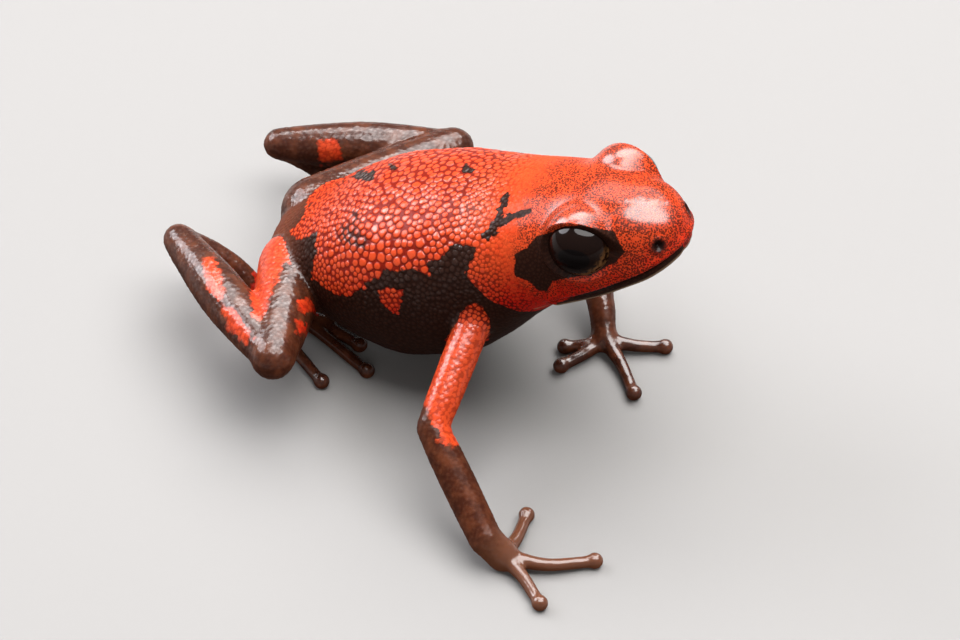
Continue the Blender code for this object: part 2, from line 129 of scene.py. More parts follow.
# %% Sizes of the eyes, mouth and nostrils
EYE, EYE_RADIUS = (15.58, 1.95, 0.55), 1.27
GAZE = (0.16, 0.97, 0.17)
LID, BROW = 0.13, 0.27
OPENING, OPENING_UP, OPENING_DOWN = 75, 61, 50
NOSTRIL, NOSTRIL_RADIUS = (18.55, -0.20), 0.19
MOUTH = ((13.6, -1.60), (15.8, -1.40), (17.7, -1.10), (18.85, -0.90))
MOUTH_POINTS = 24
LIP_THICKNESS, LIP_RISE, LIP_DEPTH = 0.20, 0.24, 0.12

# %% Sizes of the limbs
# Each joint is a place over the floor. Each tip is X, Y and how far the digit bows to one side.
ARM_JOINTS = ("shoulder", "elbow", "wrist", "palm")
LEG_JOINTS = ("hip", "knee", "ankle", "sole")
FINGER_HEIGHT, FINGER, TIP = 0.26, 0.25, 0.34
FINGER_ROOT, TOE_ROOT, KNUCKLE = 0.36, 0.34, 1.08
KNUCKLE_AT, KNUCKLE_LIFT = 0.45, 0.06
NECK_AT, NECK_BOW = 0.86, 0.3
ARMS = {
    "right": {
        "shoulder": (0.42, -3.48, 5.45),
        "elbow": (0.46, -7.53, 3.25),
        "wrist": (3.98, -10.25, 1.15),
        "palm": (4.72, -10.22, 0.46),
        "fingers": ((3.6, -9.3, 0.0), (4.6, -7.68, -0.12), (8.02, -8.80, -0.35), (6.97, -11.72, 0.12)),
        "forearm": (0.66, 0.70, 0.67),
        "hand": (0.64, 0.66),
    },
    "left": {
        "shoulder": (0.42, 3.48, 5.45),
        "elbow": (0.40, 7.0, 3.30),
        "wrist": (3.10, 3.15, 1.05),
        "palm": (3.55, 2.35, 0.42),
        "fingers": ((2.2, 1.45, 0.1), (2.5, 0.39, 0.1), (5.78, 0.21, 0.12), (5.90, 3.12, -0.15)),
        "forearm": (0.66, 0.68, 0.55),
        "hand": (0.52, 0.56),
    },
}
LEGS = {
    "right": {
        "hip": (-8.6, -1.3, 2.85),
        "knee": (-6.75, -6.95, 3.60),
        "ankle": (-13.45, -1.90, 2.95),
        "tarsus": ((-12.1, -1.25, 2.0), (-11.1, -1.1, 1.25)),
        "sole": (-10.0, -1.35, 0.55),
        "toes": (
            (-8.2, -0.7, 0.1), (-7.0, -1.2, -0.1), (-5.4, -1.9, 0.2), (-4.5, -3.1, 0.2), (-5.9, -4.4, -0.2),
        ),
    },
    "left": {
        "hip": (-9.12, 1.85, 3.0),
        "knee": (-5.60, 7.60, 2.95),
        "ankle": (-12.40, 5.20, 2.60),
        "tarsus": ((-11.4, 5.4, 2.05), (-10.5, 5.6, 1.45)),
        "sole": (-9.35, 5.7, 0.58),
        "toes": (
            (-7.8, 4.4, -0.1), (-6.6, 4.8, 0.1), (-5.0, 5.5, -0.2), (-3.7, 6.7, 0.2), (-4.9, 7.6, 0.2),
        ),
    },
}
UPPER_ARM = (0.72, 0.70, 0.66)
THIGH, SHANK, TARSUS = (1.45, 1.25, 0.92), (0.76, 1.02, 0.70), (0.62, 0.50, 0.48)
digits = [*(arm["fingers"] for arm in ARMS.values()), *(leg["toes"] for leg in LEGS.values())]
print("fingers and toes:", sum(len(tips) for tips in digits))

# %% [markdown]
# ## The trunk
# A real trunk has no flat spots, so its profile runs through the table's rows on a curve that never
# overshoots them. Each section is a superellipse, a little squarer than an ellipse, which is how the
# flanks of a sitting frog look.


# %% Places along the body
def on_body(along, across, up):
    """A place given along the body's axes. The tail swings to the frog's left and the head to its right."""
    beyond = max(0.0, along - BEND_START)
    middle = TAIL_SWING * max(0.0, 1 - along / SWING_START) ** 2 - HEAD_BEND * beyond**2
    along += 2 * HEAD_BEND * beyond * across
    return VENT + FORWARD * float(along) + Vector((0.0, across + middle, 0.0)) + UPWARD * float(up)


def body_axes(points):
    """The same the other way round, for many places: how far along, across and up each one lies."""
    away = points - np.array(VENT)
    start, up = away @ np.array(FORWARD), away @ np.array(UPWARD)
    along, across = start, away[:, 1]
    for _ in range(3):
        beyond = np.clip(along - BEND_START, 0, None)
        middle = TAIL_SWING * np.clip(1 - along / SWING_START, 0, None) ** 2 - HEAD_BEND * beyond**2
        across = away[:, 1] - middle
        along = start - 2 * HEAD_BEND * beyond * across
    return along, across, up


def slopes(x, y):
    """The curve's slope at each point, level where the points turn, so that it never overshoots."""
    step = np.diff(x)
    rise = np.diff(y) / step
    slope = np.concatenate([rise[:1], np.zeros(len(x) - 2), rise[-1:]])
    for i in range(1, len(x) - 1):
        if rise[i - 1] * rise[i] > 0:
            before, after = 2 * step[i] + step[i - 1], step[i] + 2 * step[i - 1]
            slope[i] = (before + after) / (before / rise[i - 1] + after / rise[i])
    return slope


def smooth_value(x, y, at):
    """Values at these places of a smooth curve through the points."""
    x, y, at = np.asarray(x, float), np.asarray(y, float), np.asarray(at, float)
    slope = slopes(x, y)
    i = np.clip(np.searchsorted(x, at) - 1, 0, len(x) - 2)
    width = x[i + 1] - x[i]
    t = np.clip((at - x[i]) / width, 0, 1)
    start = (1 + 2 * t) * (1 - t) ** 2 * y[i] + t * (1 - t) ** 2 * width * slope[i]
    return start + t * t * (3 - 2 * t) * y[i + 1] + t * t * (t - 1) * width * slope[i + 1]


# %% The profile of the trunk
def section_sizes(along):
    """Half width, back, widest line and belly, drawn in near both ends to round them."""
    table = list(zip(*SECTIONS))
    half, top, wide, bottom = (smooth_value(table[0], column, along) for column in table[1:])
    tail = np.clip((along - table[0][0]) / TAIL_ROUNDING, 0, 1)
    snout = np.clip((table[0][-1] - along) / SNOUT_ROUNDING, 0, 1)
    drawn = np.sqrt(1 - (1 - tail) ** 2) * np.sqrt(1 - (1 - snout) ** 2)
    middle = (top + bottom) / 2
    return half * drawn, *(middle + drawn * (level - middle) for level in (top, wide, bottom))


def skin_width(along, up):
    """Half the trunk's width at this height, or 0 above its back and below its belly."""
    half, top, wide, bottom = section_sizes(along)
    reach = top - wide if up > wide else wide - bottom
    if reach <= abs(up - wide):
        return 0.0
    return half * (1 - (abs(up - wide) / reach) ** SQUARENESS) ** (1 / SQUARENESS)


def on_skin(along, up, side, outward=0.0):
    """A place on the trunk's side: 1 is the frog's left side and -1 its right."""
    return on_body(along, (skin_width(along, up) + outward) * side, up)


print("widest:", round(2 * float(section_sizes(7.0)[0]), 1), "mm")


# %% A mesh from a bmesh, and the lofted trunk
def made(name, mesh):
    data = bpy.data.meshes.new(name)
    mesh.to_mesh(data)
    mesh.free()
    obj = bpy.data.objects.new(name, data)
    bpy.context.scene.collection.objects.link(obj)
    return obj


def section(along):
    """The points round one cross-section."""
    half, top, wide, bottom = section_sizes(along)
    for i in range(RING_POINTS):
        turn = 2 * math.pi * i / RING_POINTS
        across = math.copysign(abs(math.cos(turn)) ** (2 / SQUARENESS), math.cos(turn))
        up = math.copysign(abs(math.sin(turn)) ** (2 / SQUARENESS), math.sin(turn))
        yield on_body(along, half * across, wide + up * (top - wide if up > 0 else wide - bottom))


def trunk():
    """Rings of points, closer together near both ends, where the form turns fastest."""
    mesh = bmesh.new()
    start, end = SECTIONS[0][0], SECTIONS[-1][0]
    rings = []
    for i in range(1, RINGS):
        along = start + (end - start) * (1 - math.cos(math.pi * i / RINGS)) / 2
        rings.append([mesh.verts.new(point) for point in section(along)])
    for near, far in zip(rings, rings[1:]):
        for i in range(RING_POINTS):
            j = (i + 1) % RING_POINTS
            mesh.faces.new((near[i], near[j], far[j], far[i]))
    mesh.faces.new(rings[0])
    mesh.faces.new(rings[-1])
    bmesh.ops.recalc_face_normals(mesh, faces=mesh.faces)
    return made("trunk", mesh)


# %% [markdown]
# ## Limbs
# An arm or a leg is a chain of tapered tubes, from the joint inside the body to the tips of the toes.
# A curve with a round bevel makes each tube. The tubes only have to overlap, because a voxel
# remesh makes one skin of them all later.


# %% Tubes and balls
def smooth_path(stops, steps=10):
    """Points and radii along a smooth curve through the stops, each (X, Y, Z, radius)."""
    stops = [np.array(stop, float) for stop in stops]
    padded = [2 * stops[0] - stops[1], *stops, 2 * stops[-1] - stops[-2]]
    points = []
    for a, b, c, d in zip(padded, padded[1:], padded[2:], padded[3:]):
        for t in np.arange(steps) / steps:
            bend = (2 * a - 5 * b + 4 * c - d) * t**2 + (3 * b - a - 3 * c + d) * t**3
            points.append(0.5 * (2 * b + (c - a) * t + bend))
    return [*points, stops[-1]]


def round_end(point, beyond):
    """Five more points that close a tube with half a ball."""
    way = (point[:3] - beyond[:3]) / np.linalg.norm(point[:3] - beyond[:3])
    for turn in (0.3, 0.6, 0.9, 1.2, 1.45):
        yield np.array([*(point[:3] + way * point[3] * math.sin(turn)), point[3] * math.cos(turn)])


def tube(name, stops, steps=10):
    points = smooth_path(stops, steps)
    points = [*reversed(list(round_end(points[0], points[1]))), *points, *round_end(points[-1], points[-2])]
    curve = bpy.data.curves.new(name, "CURVE")
    curve.dimensions = "3D"
    curve.bevel_depth = 1.0
    curve.bevel_resolution = 8
    curve.use_fill_caps = True
    spline = curve.splines.new("POLY")
    spline.points.add(len(points) - 1)
    for place, point in zip(points, spline.points):
        point.co = (*place[:3], 1.0)
        point.radius = place[3]
    guide = bpy.data.objects.new(name, curve)
    bpy.context.scene.collection.objects.link(guide)
    shape = guide.evaluated_get(bpy.context.evaluated_depsgraph_get())
    mesh = bmesh.new()
    mesh.from_mesh(bpy.data.meshes.new_from_object(shape))
    bmesh.ops.remove_doubles(mesh, verts=mesh.verts, dist=0.0001)
    bmesh.ops.recalc_face_normals(mesh, faces=mesh.faces)
    bpy.data.objects.remove(guide)
    return made(name, mesh)


def ball(name, centre, radius, segments=48):
    mesh = bmesh.new()
    bmesh.ops.create_uvsphere(mesh, u_segments=segments, v_segments=segments * 2 // 3, radius=radius)
    mesh.transform(Matrix.Translation(centre))
    return made(name, mesh)


# %% Arms, legs, fingers and toes
def between(start, end, radii):
    """Three stops from one joint to the next, each with its own radius."""
    middle = (Vector(start) + Vector(end)) / 2
    return [(*start, radii[0]), (*middle, radii[1]), (*end, radii[2])]


def digit_line(root, tip):
    """The root, knuckle, neck and tip of a finger or toe, which bows a little to one side."""
    root, end = Vector(root), Vector((*tip[:2], FINGER_HEIGHT))
    aside = Vector((0.0, 0.0, 1.0)).cross(end - root).normalized() * tip[2]
    knuckle, neck = root.lerp(end, KNUCKLE_AT) + aside, root.lerp(end, NECK_AT) + aside * NECK_BOW
    knuckle.z = max(FINGER_HEIGHT + KNUCKLE_LIFT, knuckle.z)
    neck.z = FINGER_HEIGHT
    return root, knuckle, neck, end


def digit(name, root, tip, root_radius):
    line = digit_line(root, tip)
    radii = (root_radius, FINGER * KNUCKLE, FINGER, FINGER)
    stops = [(*place, radius) for place, radius in zip(line, radii)]
    return [tube(name, stops), ball(name + "_disc", line[-1], TIP)]


def arm(side, places):
    shoulder, elbow, wrist, palm = (places[joint] for joint in ARM_JOINTS)
    yield tube(side + "_upper", between(shoulder, elbow, UPPER_ARM))
    yield tube(side + "_fore", between(elbow, wrist, places["forearm"]))
    yield tube(side + "_palm", between(wrist, palm, (places["forearm"][-1], *places["hand"])))
    for i, tip in enumerate(places["fingers"]):
        yield from digit(f"{side}_finger_{i}", palm, tip, FINGER_ROOT)


def leg(side, places):
    hip, knee, ankle, sole = (places[joint] for joint in LEG_JOINTS)
    yield tube(side + "_thigh", between(hip, knee, THIGH))
    yield tube(side + "_shank", between(knee, ankle, SHANK))
    heel = [(*place, TARSUS[1]) for place in places["tarsus"]]
    yield tube(side + "_tarsus", [(*ankle, TARSUS[0]), *heel, (*sole, TARSUS[2])])
    for i, tip in enumerate(places["toes"]):
        yield from digit(f"{side}_toe_{i}", sole, tip, TOE_ROOT)


# %% [markdown]
# ## Eyes, lids and lips
# The eye bulges sit on top of the head, and each carries a rim that follows the eyeball. The lips are
# two thin rolls, one over and one under the line of the mouth.


# %% Eye bulges and lips
def eye_centre(side):
    return on_body(EYE[0], EYE[1] * side, EYE[2])


def eye_axes(side):
    """Ahead, up and outward, as the eye looks: level ahead, outward and a little up."""
    ahead, outward, above = GAZE
    out = Vector((ahead, outward * side, above)).normalized()
    up = (Vector((0.0, 0.0, 1.0)) - out * out.z).normalized()
    return up.cross(out) * -side, up, out


def mouth_height(along):
    return smooth_value(*zip(*MOUTH), along)


def mouth_line(rise, depth):
    """A line along the mouth, from its right corner round the snout to the left one."""
    front = SECTIONS[-1][0]
    while skin_width(front, mouth_height(front) + rise) <= 0.0:
        front -= 0.01
    corner = MOUTH[0][0]
    right, left = [], []
    for i in range(MOUTH_POINTS):
        along = corner + (front - corner) * math.sin(math.pi / 2 * i / MOUTH_POINTS)
        up = mouth_height(along) + rise
        right.append(on_skin(along, up, -1, -depth))
        left.append(on_skin(along, up, 1, -depth))
    return [*right, on_body(front - depth, 0.0, mouth_height(front) + rise), *reversed(left)]


# %% [markdown]
# ## One skin
# All these forms overlap, and a voxel remesh wraps them in one closed surface of even quads. Its
# steps are smoothed away, a little everywhere and much more where a limb leaves the body, since
# skin bridges such a corner in a soft fold.


# %% The forms, joined and wrapped
def joined(name, pieces):
    mesh = bmesh.new()
    for piece in pieces:
        mesh.from_mesh(piece.data)
        bpy.data.objects.remove(piece)
    return made(name, mesh)


def applied(obj):
    """The object with its modifier made real."""
    name, shape = obj.name, obj.evaluated_get(bpy.context.evaluated_depsgraph_get())
    result = made(name + "_applied", bmesh.new())
    result.data = bpy.data.meshes.new_from_object(shape)
    bpy.data.objects.remove(obj)
    result.name = name
    return result


VOXEL = 0.075
forms = [trunk()]
for side in (-1, 1):
    forms.append(ball("brow", eye_centre(side), EYE_RADIUS + BROW))
for rise in (LIP_RISE, -LIP_RISE):
    forms.append(tube("lip", [(*point, LIP_THICKNESS) for point in mouth_line(rise, LIP_DEPTH)], 3))
for side, places in ARMS.items():
    forms += arm(side, places)
for side, places in LEGS.items():
    forms += leg(side, places)
skin = joined("frog_skin", forms)
wrap = skin.modifiers.new("one skin", "REMESH")
wrap.mode, wrap.voxel_size = "VOXEL", VOXEL
skin = applied(skin)
print("quads in the skin:", len(skin.data.polygons))


# %% Reading and writing a mesh as arrays
def points_of(obj):
    points = np.empty(len(obj.data.vertices) * 3, np.float32)
    obj.data.vertices.foreach_get("co", points)
    return points.reshape(-1, 3).astype(float)


def normals_of(obj):
    normals = np.empty(len(obj.data.vertices) * 3, np.float32)
    obj.data.vertex_normals.foreach_get("vector", normals)
    return normals.reshape(-1, 3).astype(float)


def move_to(obj, points):
    obj.data.vertices.foreach_set("co", points.astype(np.float32).ravel())
    obj.data.update()


def edges_of(obj):
    edges = np.empty(len(obj.data.edges) * 2, np.int32)
    obj.data.edges.foreach_get("vertices", edges)
    return edges.reshape(-1, 2)


def eased(x, low, high):
    """0 below low, 1 above high and smooth between."""
    t = np.clip((x - low) / (high - low), 0, 1)
    return t * t * (3 - 2 * t)


def bell(x, middle, reach):
    """1 at the middle, falling off smoothly to both sides."""
    return np.exp(-(((x - middle) / reach) ** 2))


# %% Smoothing, stronger at the roots of the limbs
def smoothed(points, edges, share, rounds):
    """Each point moved towards the mean of its neighbours, by its share, again and again."""
    count = np.bincount(edges.ravel(), minlength=len(points))[:, None]
    for _ in range(rounds):
        total = np.zeros_like(points)
        for axis in range(3):
            total[:, axis] = np.bincount(edges[:, 0], points[edges[:, 1], axis], len(points))
            total[:, axis] += np.bincount(edges[:, 1], points[edges[:, 0], axis], len(points))
        points = points + share * (total / count - points)
    return points


def nearness(points, place, reach):
    """1 round the place, falling to 0 at the reach."""
    return 1 - eased(np.linalg.norm(points - np.array(place), axis=1), 0.4 * reach, reach)


FOLDS = {
    "shoulder": (1.0, 1.5),
    "elbow": (1.0, 1.3),
    "palm": (0.5, 1.0),
    "hip": (1.0, 3.4),
    "knee": (1.0, 1.6),
    "ankle": (1.0, 1.2),
    "sole": (0.5, 1.0),
}
BROW_FOLD = (0.8, 3.2)
EVEN_SHARE, EVEN_ROUNDS, FOLD_ROUNDS = 0.5, 6, 40
points, edges = points_of(skin), edges_of(skin)
points = smoothed(points, edges, EVEN_SHARE, EVEN_ROUNDS)
folds = [(eye_centre(side), BROW_FOLD) for side in (-1, 1)]
for joints in (*ARMS.values(), *LEGS.values()):
    folds += [(joints[name], fold) for name, fold in FOLDS.items() if name in joints]
soft = np.max([strength * nearness(points, place, reach) for place, (strength, reach) in folds], axis=0)
points = smoothed(points, edges, EVEN_SHARE * soft[:, None], FOLD_ROUNDS)
points[:, 2] = np.maximum(points[:, 2], 0.0)
move_to(skin, points)
print("points of the skin:", len(points))

# %% [markdown]
# ## The camera comes early
# The markings are drawn as they are seen in the picture, so the camera's place is needed first. It
# looks down on the frog from its right side, from far away and through a long lens.

# %% Where the camera stands, and what it sees of a place
YAW, ELEVATION = math.radians(24.5), math.radians(45)
LOOKED_AT = Vector((0.0, -2.0, 4.0))
DISTANCE = 220.0
PIXELS_PER_MM = 25.2
PICTURE = (960, 640)
SENSOR = 36.0
FOCAL_PIXELS = PIXELS_PER_MM * DISTANCE
level = math.cos(ELEVATION)
BACK = Vector((math.sin(YAW) * level, -math.cos(YAW) * level, math.sin(ELEVATION)))
RIGHT = Vector((math.cos(YAW), math.sin(YAW), 0.0))
UP = BACK.cross(RIGHT)
EYE_POINT = LOOKED_AT + BACK * DISTANCE


def seen_at(points):
    """The picture's coordinates of these places."""
    away = points - np.array(EYE_POINT)
    depth = -away @ np.array(BACK)
    u = PICTURE[0] / 2 + FOCAL_PIXELS * (away @ np.array(RIGHT)) / depth
    v = PICTURE[1] / 2 - FOCAL_PIXELS * (away @ np.array(UP)) / depth
    return np.stack([u, v], axis=1)


def place_seen(tree, pixel):
    """The place on the skin that is seen at this pixel."""
    u, v = pixel
    way = RIGHT * (u - PICTURE[0] / 2) + UP * (PICTURE[1] / 2 - v) - BACK * FOCAL_PIXELS
    return tree.ray_cast(EYE_POINT, way.normalized())[0]


# %% [markdown]
# ## A finer mesh where it shows
# Lids, lips and nostrils are small, and so are the granules of the back. Both get twice as many
# quads each way before anything is carved or raised there. Limbs and belly stay as they are.

# %% What lies outside the trunk's own form
FROM_ENDS = 0.3


def outside_trunk(points):
    """1 on the trunk's own surface, and more the further a place lies outside it."""
    along, across, up = body_axes(points)
    ends = SECTIONS[0][0] + FROM_ENDS, SECTIONS[-1][0] - FROM_ENDS
    half, top, wide, bottom = section_sizes(np.clip(along, *ends))
    reach = np.where(up > wide, top - wide, wide - bottom)
    return (np.abs(across) / half) ** SQUARENESS + (np.abs(up - wide) / reach) ** SQUARENESS


FACE_START, BACK_BOTTOM, FACE_BOTTOM = 13.0, -2.0, 3.5
LIMB_BULK = 1.35


def is_face(points):
    return (body_axes(points)[0] > FACE_START) & (points[:, 2] > FACE_BOTTOM)


def is_back(points):
    along, _, up = body_axes(points)
    return (up > BACK_BOTTOM) & (along > 0) & (outside_trunk(points) < LIMB_BULK)


# %% Twice as fine on the face and the back
points = points_of(skin)
fine = is_face(points) | is_back(points)
mesh = bmesh.new()
mesh.from_mesh(skin.data)
finer = [edge for edge in mesh.edges if all(fine[vert.index] for vert in edge.verts)]
bmesh.ops.subdivide_edges(mesh, edges=finer, cuts=1, use_grid_fill=True, smooth=0.0)
mesh.to_mesh(skin.data)
mesh.free()
points, edges = points_of(skin), edges_of(skin)
FINE_SHARE, FINE_ROUNDS = 0.4, 3
face = is_face(points)
points = smoothed(points, edges, FINE_SHARE * (face | is_back(points))[:, None], FINE_ROUNDS)
move_to(skin, points)
print("points with the finer face and back:", len(points))

# %% [markdown]
# ## Lids
# The lids are the skin itself, drawn close over the eyeball and open in front of it. Places inside
# the opening are pushed in behind the eyeball's surface, and round its edge the skin keeps the
# thickness of a lid. The upper lid covers more of the eye than the lower one.

# %% The opening between the lids
LID_REACH, LID_ROLL, EYE_DEPTH = 1.9, 0.12, 0.8
LID_EDGE = (-0.05, 0.03)


def opening(turn):
    """How far the lids open in this direction round the eye's axis, as an angle from it."""
    reach = np.where(np.sin(turn) > 0, OPENING_UP, OPENING_DOWN)
    return np.radians(1 / np.hypot(np.cos(turn) / OPENING, np.sin(turn) / reach))


def eye_polar(points, side):
    """How far from the eye's centre, and how far outside the lids' edge along the eyeball."""
    away = points - np.array(eye_centre(side))
    reach = np.linalg.norm(away, axis=1)
    ahead, up, out = (away @ np.array(axis) for axis in eye_axes(side))
    from_axis = np.arccos(np.clip(out / reach, -1, 1))
    return reach, (from_axis - opening(np.arctan2(up, ahead))) * EYE_RADIUS


# %% The skin drawn over the eyeballs
pushed = EYE_RADIUS * EYE_DEPTH
behind_eyes = 0
for side in (-1, 1):
    centre = np.array(eye_centre(side))
    reach, beyond = eye_polar(points, side)
    lid = np.maximum(reach, EYE_RADIUS + LID * bell(beyond, LID_ROLL, LID_ROLL))
    moved = reach < LID_REACH
    scale = np.where(moved, (pushed + (lid - pushed) * eased(beyond, *LID_EDGE)) / reach, 1.0)
    points = centre + (points - centre) * scale[:, None]
    behind_eyes += int((moved & (beyond < 0)).sum())
move_to(skin, points)
print("points behind the eyes:", behind_eyes)

# %% [markdown]
# ## The line of the mouth and the nostrils
# Both are carved by moving points of the skin inwards: along the line of the mouth as a narrow
# groove, and at each nostril as a small pit.

# %% Mouth and nostrils
MOUTH_GROOVE, MOUTH_DEPTH = 0.075, 0.13
PIT_RADIUS, PIT_DEPTH = 0.75 * NOSTRIL_RADIUS, 0.20
RIM_RADIUS, RIM_WIDTH, RIM_HEIGHT = 1.5 * NOSTRIL_RADIUS, 0.1, 0.05
FAR = 9.0


def distance_to(points, places):
    tree = KDTree(len(places))
    for i, place in enumerate(places):
        tree.insert(place, i)
    tree.balance()
    return np.array([tree.find(point)[2] for point in points])


def dense(line, step=0.04):
    """Places along a line, close enough together to measure distances from it."""
    for start, end in zip(line, line[1:]):
        for i in range(max(1, int((end - start).length / step))):
            yield start.lerp(end, i * step / max((end - start).length, step))


from_mouth, from_nostril = np.full(len(points), FAR), np.full(len(points), FAR)
from_mouth[face] = distance_to(points[face], list(dense(mouth_line(0.0, 0.0))))
from_nostril[face] = distance_to(points[face], [on_skin(*NOSTRIL, side) for side in (-1, 1)])
carve = MOUTH_DEPTH * bell(from_mouth, 0, MOUTH_GROOVE)
carve += PIT_DEPTH * bell(from_nostril, 0, PIT_RADIUS)
carve -= RIM_HEIGHT * bell(from_nostril, RIM_RADIUS, RIM_WIDTH)
points = points - normals_of(skin) * carve[:, None]
move_to(skin, points)
print("deepest carving:", round(float(carve.max()), 2), "mm")

# %% [markdown]
# ## What belongs to a limb
# The limbs have finer granules and other colours than the body. A point belongs to a limb where it
# lies outside the trunk's own form and close to the limb's middle line.


# %% The middle lines of the limbs
def limb_lines():
    """Many places along the limbs: the limb's name, the place, and 1 in a digit or 0 elsewhere."""
    for limb, places, joints in (("arm", ARMS, ARM_JOINTS), ("leg", LEGS, LEG_JOINTS)):
        for side, limb_places in places.items():
            *upper, end = (limb_places[joint] for joint in joints)
            line = [*upper, *limb_places.get("tarsus", ()), end]
            for start, stop in zip(line, line[1:]):
                for share in np.linspace(0, 1, 16):
                    yield f"{side}_{limb}", Vector(start).lerp(Vector(stop), share), 0
            for tip in limb_places.get("fingers") or limb_places["toes"]:
                line = digit_line(end, tip)
                for start, stop in zip(line, line[1:]):
                    for share in np.linspace(0, 1, 5):
                        yield f"{side}_{limb}", start.lerp(stop, share), 1


# %% How far each point belongs to a limb, and to which
OUTSIDE, LIMB_REACH, DIGIT_REACH = (1.03, 1.25), (1.5, 1.9), 0.6
LIMBS_END = 12.5
lines = list(limb_lines())
tree = KDTree(len(lines))
for i, (_, place, _) in enumerate(lines):
    tree.insert(place, i)
tree.balance()
nearest = [tree.find(point) for point in points]
from_limb = np.array([found[2] for found in nearest])
index = np.array([found[1] for found in nearest])
limb_names = np.array([line[0] for line in lines])[index]
on_digit = np.array([line[2] for line in lines])[index] * (from_limb < DIGIT_REACH)
along, across, up = body_axes(points)
limb = eased(outside_trunk(points), *OUTSIDE) * (1 - eased(from_limb, *LIMB_REACH))
limb *= (along < LIMBS_END) | (points[:, 2] < FACE_BOTTOM)
print("points on limbs:", int((limb > 0.5).sum()))

# %% [markdown]
# ## Markings
# Every dark or red patch is an outline drawn on the picture, in its pixels. The side of the body
# that the camera sees takes it as it is, and the other side takes its mirror image, as the two
# sides of such a frog are alike but never the same. For each point of the skin the result is how far
# it lies inside a dark mark, in millimetres, or minus the distance outside it.

# %% Outlines of the marks on the body and head, in the picture's pixels
MASK = (
    (537, 236), (552, 232), (566, 226), (580, 225), (597, 228), (614, 231), (619, 242),
    (626, 252), (617, 262), (602, 269), (589, 276), (571, 277), (562, 280), (553, 281),
    (547, 291), (538, 290), (528, 281), (515, 276), (513, 262), (516, 254), (527, 247),
)
BAR = (
    (502, 195), (509, 193), (506, 206), (501, 216), (513, 213), (531, 208), (532, 211), (520, 217),
    (504, 226), (496, 234), (489, 240), (483, 236), (485, 228), (492, 221), (498, 212), (501, 203),
)
PATCH = (
    (449, 246), (463, 244), (474, 247), (472, 258), (468, 268), (468, 285),
    (452, 285), (440, 285), (428, 285), (428, 266), (436, 260), (446, 256),
)
RUMP = (
    (250, 178), (313, 181), (307, 205), (300, 222), (290, 231), (297, 240),
    (314, 234), (319, 252), (311, 275), (313, 300), (250, 300),
)
BELLY_LINE = (
    (312, 277), (336, 295), (350, 297), (362, 288), (380, 273), (402, 270),
    (426, 273), (468, 278), (490, 300), (515, 310), (540, 310),
)
MOTTLES = (
    ((341, 228), (352, 226), (366, 240), (364, 248), (352, 246), (340, 238)),
    ((352, 214), (357, 212), (358, 222), (352, 224)),
)
FAR_SPOTS = (
    ((455, 163), (466, 165), (474, 171), (470, 174), (460, 169)),
    ((352, 175), (362, 170), (374, 172), (372, 180), (356, 182)),
    ((389, 165), (396, 165), (398, 170), (390, 171)),
)
FLANK_SPOT = ((378, 290), (390, 288), (403, 289), (401, 303), (395, 318), (388, 309), (381, 301))
SNOUT_WET = (
    (612, 212), (622, 203), (640, 199), (662, 201), (679, 211), (674, 224), (650, 231), (622, 229),
)
print("outlines on the body:", 5 + len(MOTTLES) + len(FAR_SPOTS))

# %% Outlines of the red on the limbs
RED_ARM = (
    (455, 326), (461, 313), (468, 305), (475, 303), (483, 308), (489, 319), (490, 334), (484, 356),
    (472, 386), (464, 440), (452, 448), (440, 441), (434, 425), (428, 410), (418, 400), (436, 352),
)
RED_ON_LIMBS = {
    "right_arm": (RED_ARM,),
    "right_leg": (
        (
            (262, 238), (285, 228), (300, 240), (298, 262), (284, 262),
            (272, 290), (262, 320), (252, 316), (250, 292),
        ),
        ((299, 300), (311, 297), (316, 312), (300, 312)),
        ((297, 322), (304, 322), (306, 334), (298, 333)),
        ((202, 258), (214, 256), (224, 282), (222, 300), (210, 292)),
        ((222, 304), (236, 310), (252, 338), (246, 344), (228, 330)),
    ),
    "left_leg": (((318, 140), (338, 140), (342, 158), (322, 164)),),
}
LEFT_ARM_RED = 3.6
print("red patches on the limbs:", sum(len(outlines) for outlines in RED_ON_LIMBS.values()))


# %% Distances inside an outline
def inside_by(places, outline):
    """How far each place of the picture lies inside the outline, in pixels. It is negative outside."""
    outline = np.array(outline, float)
    nearest = np.full(len(places), np.inf)
    crossings = np.zeros(len(places), bool)
    for start, end in zip(outline, np.roll(outline, -1, axis=0)):
        side = end - start
        share = np.clip(((places - start) @ side) / (side @ side), 0, 1)
        gap = places - (start + share[:, None] * side)
        nearest = np.minimum(nearest, np.hypot(gap[:, 0], gap[:, 1]))
        if start[1] != end[1]:
            between = (places[:, 1] < start[1]) != (places[:, 1] < end[1])
            crossing = start[0] + (places[:, 1] - start[1]) * side[0] / side[1]
            crossings ^= between & (places[:, 0] < crossing)
    return np.where(crossings, nearest, -nearest)


def mm_inside(places, outline):
    return inside_by(places, outline) / PIXELS_PER_MM


def mirrored(points):
    """The same places, with those left of the middle mirrored to the right, which the camera sees."""
    across = body_axes(points)[1]
    result = points.copy()
    result[:, 1] -= np.where(across > 0, 2 * across, 0)
    return result


# %% The edge of the dark belly
# A ray from the camera through each pixel finds the place on the skin, and so how high up it is.
tree = BVHTree.FromPolygons([tuple(p) for p in points], [tuple(f.vertices) for f in skin.data.polygons])
belly = np.array([place_seen(tree, pixel) for pixel in BELLY_LINE])
belly_along, _, belly_up = body_axes(belly)
order = np.argsort(belly_along)
belly_along, belly_up = belly_along[order], belly_up[order]
print("belly line:", [(round(a, 1), round(b, 1)) for a, b in zip(belly_along, belly_up)])

# %% The dark marks of the body and the head
THROAT_SLOPE = 0.6
HEAD_MARKS, JAW_CORNER, CORNER_DROP = (13.2, 13.8), (13.2, 15.0), 0.25
FAR_SIDE_RED, SHOULDER_REACH = 0.8, 1.6
LIMB_DARK = 0.4


